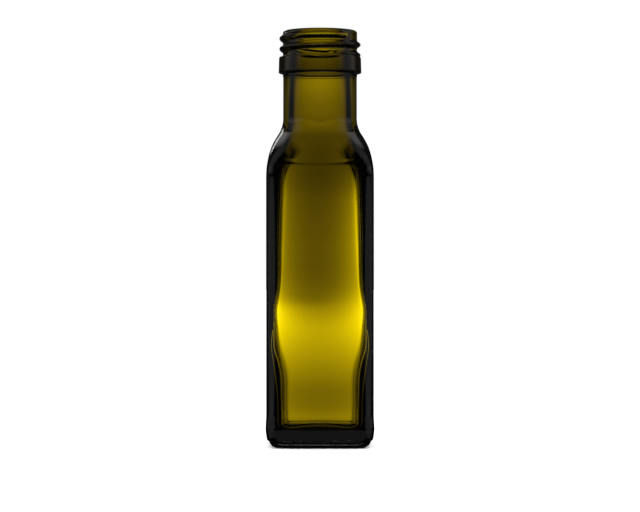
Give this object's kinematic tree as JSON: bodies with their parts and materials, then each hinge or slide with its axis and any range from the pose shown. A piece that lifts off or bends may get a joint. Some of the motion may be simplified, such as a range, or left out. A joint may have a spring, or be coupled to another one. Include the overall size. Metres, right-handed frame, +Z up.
{
  "type": "oil bottle",
  "caption": "Small square bottle of dark olive glass for oil, with rounded shoulders, a round neck, a collar and a raised screw thread at its open mouth.",
  "frame": {"origin": "middle of the foot, on the surface that the bottle stands on", "axes": "+Z up along the neck, -Y out of the front panel, +X to the right seen from the front"},
  "size_m": [0.0388, 0.0388, 0.15],
  "materials": {
    "olive_glass": "clear dark olive-green bottle glass, smooth and glossy, with soft moulding ripples"
  },
  "bodies": {
    "root": {"bottle_glass": "olive_glass"}
  },
  "joints": []
}
